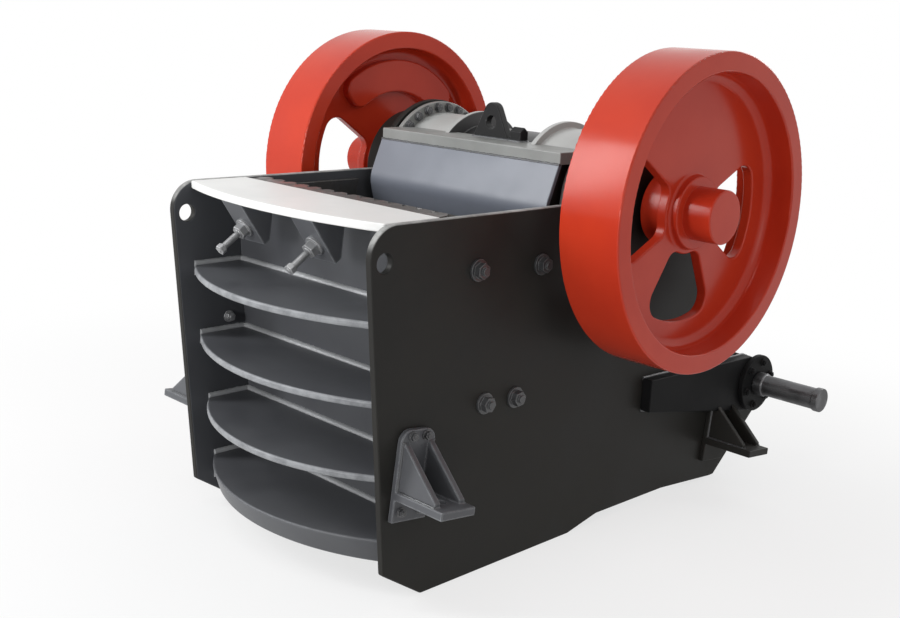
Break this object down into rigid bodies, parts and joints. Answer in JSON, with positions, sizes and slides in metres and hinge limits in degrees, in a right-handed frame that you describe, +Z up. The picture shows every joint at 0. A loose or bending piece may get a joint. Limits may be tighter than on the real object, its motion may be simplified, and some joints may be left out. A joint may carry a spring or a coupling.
{
  "type": "jaw crusher",
  "caption": "Single-toggle jaw crusher with ribbed front wall, flat side plates on bracket feet, hooded pitman and heavy flywheels on its eccentric shaft.",
  "frame": {"origin": "floor level under the middle of the crusher", "axes": "+X to the crusher's right side, +Y to its rear, +Z up"},
  "size_m": [2.04, 2.5517, 1.9339],
  "materials": {
    "charcoal_paint": "satin charcoal paint",
    "rib_paint": "satin blue-grey charcoal paint",
    "red_paint": "glossy orange-red paint",
    "blue_grey_paint": "satin blue-grey paint",
    "grey_paint": "satin grey paint",
    "pale_top": "pale glossy top face",
    "black_paint": "satin black paint",
    "wear_steel": "bare cast manganese steel",
    "bare_steel": "dull turned steel"
  },
  "bodies": {
    "frame": {"adjuster_box_left": "charcoal_paint", "adjuster_box_right": "charcoal_paint", "bar_boss_left": "charcoal_paint", "bar_boss_right": "charcoal_paint", "bearing_housing_left": "charcoal_paint", "bearing_housing_right": "charcoal_paint", "cheek_plate_left": "wear_steel", "cheek_plate_right": "wear_steel", "clamp_seat_left": "rib_paint", "clamp_seat_right": "rib_paint", "cross_bar": "bare_steel", "fixed_jaw_plate": "wear_steel", "foot_front_left": "rib_paint", "foot_front_right": "rib_paint", "foot_rear_left": "rib_paint", "foot_rear_right": "rib_paint", "front_rib_1": "rib_paint", "front_rib_2": "rib_paint", "front_rib_3": "rib_paint", "front_rib_4": "rib_paint", "front_wall": "rib_paint", "rear_wall": "charcoal_paint", "side_plate_left": "charcoal_paint", "side_plate_right": "charcoal_paint", "toggle_beam": "charcoal_paint", "toggle_plate": "charcoal_paint", "toggle_seat": "charcoal_paint", "top_plate": "pale_top"},
    "rotor": {"eccentric_shaft": "bare_steel", "flywheel_left": "red_paint", "flywheel_right": "red_paint"},
    "pitman": {"pitman_barrel": "grey_paint", "pitman_arm": "grey_paint", "pitman_rib_1": "grey_paint", "pitman_rib_2": "grey_paint", "pitman_rib_3": "grey_paint", "pitman_rib_4": "grey_paint", "pitman_hood": "blue_grey_paint", "pitman_top_bar": "grey_paint", "lifting_lug": "black_paint", "top_bracket": "black_paint", "moving_jaw_plate": "wear_steel", "pitman_flange_left": "grey_paint", "pitman_flange_right": "grey_paint"}
  },
  "joints": [
    {"name": "flywheel_spin", "type": "hinge", "parent": "frame", "child": "rotor", "pos_m": [0, 0.14489, 1.334], "axis": [1, 0, 0], "continuous": true},
    {"name": "pitman_turn", "type": "hinge", "parent": "rotor", "child": "pitman", "pos_m": [0, 0.14422, 1.32002], "axis": [1, 0, 0], "continuous": true}
  ],
  "couplings": [
    {"joint": "pitman_turn", "follows": "flywheel_spin", "ratio": -1}
  ]
}
